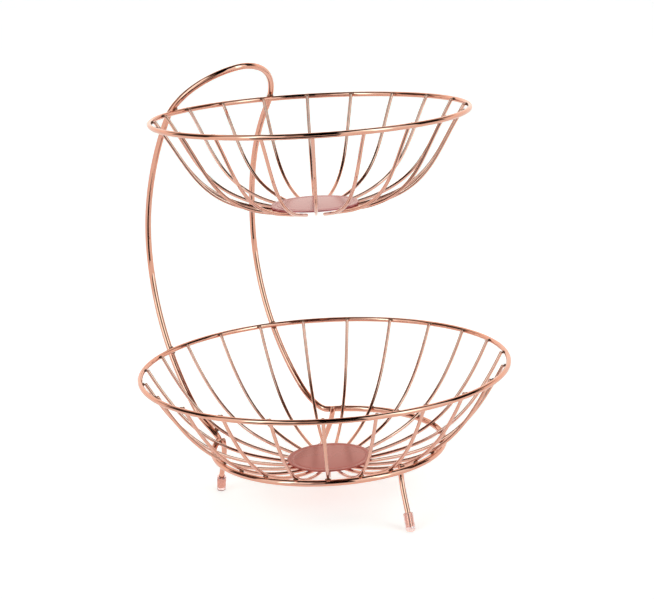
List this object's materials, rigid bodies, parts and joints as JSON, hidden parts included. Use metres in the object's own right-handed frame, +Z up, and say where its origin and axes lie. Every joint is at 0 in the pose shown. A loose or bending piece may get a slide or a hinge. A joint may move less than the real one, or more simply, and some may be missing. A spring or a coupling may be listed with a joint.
{
  "type": "two-tier wire fruit basket",
  "caption": "Two-tier wire produce basket: a wide open bowl and a smaller bowl above it on a bent wire stand with a carrying handle and capped splayed legs.",
  "frame": {"origin": "centre of the bounding box on the floor that the feet stand on", "axes": "+Z up; +Y towards the back, where the uprights are; +X to the right seen from the front"},
  "size_m": [0.3042, 0.3204, 0.3578],
  "materials": {
    "rose_gold_wire": "polished rose-gold plated steel wire",
    "rose_gold_plate": "rose-gold plated sheet steel, slightly brushed",
    "foot_cap_vinyl": "translucent soft vinyl"
  },
  "bodies": {
    "root": {"foot_cap_front": "foot_cap_vinyl", "foot_cap_rear_left": "foot_cap_vinyl", "foot_cap_rear_right": "foot_cap_vinyl", "leg_front": "rose_gold_wire", "leg_rear_left": "rose_gold_wire", "leg_rear_right": "rose_gold_wire", "lower_plate": "rose_gold_plate", "lower_rib_01": "rose_gold_wire", "lower_rib_02": "rose_gold_wire", "lower_rib_03": "rose_gold_wire", "lower_rib_04": "rose_gold_wire", "lower_rib_05": "rose_gold_wire", "lower_rib_06": "rose_gold_wire", "lower_rib_07": "rose_gold_wire", "lower_rib_08": "rose_gold_wire", "lower_rib_09": "rose_gold_wire", "lower_rib_10": "rose_gold_wire", "lower_rib_11": "rose_gold_wire", "lower_rib_12": "rose_gold_wire", "lower_rib_13": "rose_gold_wire", "lower_rib_14": "rose_gold_wire", "lower_rib_15": "rose_gold_wire", "lower_rib_16": "rose_gold_wire", "lower_rib_17": "rose_gold_wire", "lower_rib_18": "rose_gold_wire", "lower_rib_19": "rose_gold_wire", "lower_rib_20": "rose_gold_wire", "lower_rib_21": "rose_gold_wire", "lower_rib_22": "rose_gold_wire", "lower_rib_23": "rose_gold_wire", "lower_rim": "rose_gold_wire", "stand_wire": "rose_gold_wire", "upper_plate": "rose_gold_plate", "upper_rib_01": "rose_gold_wire", "upper_rib_02": "rose_gold_wire", "upper_rib_03": "rose_gold_wire", "upper_rib_04": "rose_gold_wire", "upper_rib_05": "rose_gold_wire", "upper_rib_06": "rose_gold_wire", "upper_rib_07": "rose_gold_wire", "upper_rib_08": "rose_gold_wire", "upper_rib_09": "rose_gold_wire", "upper_rib_10": "rose_gold_wire", "upper_rib_11": "rose_gold_wire", "upper_rib_12": "rose_gold_wire", "upper_rib_13": "rose_gold_wire", "upper_rib_14": "rose_gold_wire", "upper_rib_15": "rose_gold_wire", "upper_rib_16": "rose_gold_wire", "upper_rib_17": "rose_gold_wire", "upper_rib_18": "rose_gold_wire", "upper_rib_19": "rose_gold_wire", "upper_rib_20": "rose_gold_wire", "upper_rim": "rose_gold_wire"}
  },
  "joints": []
}
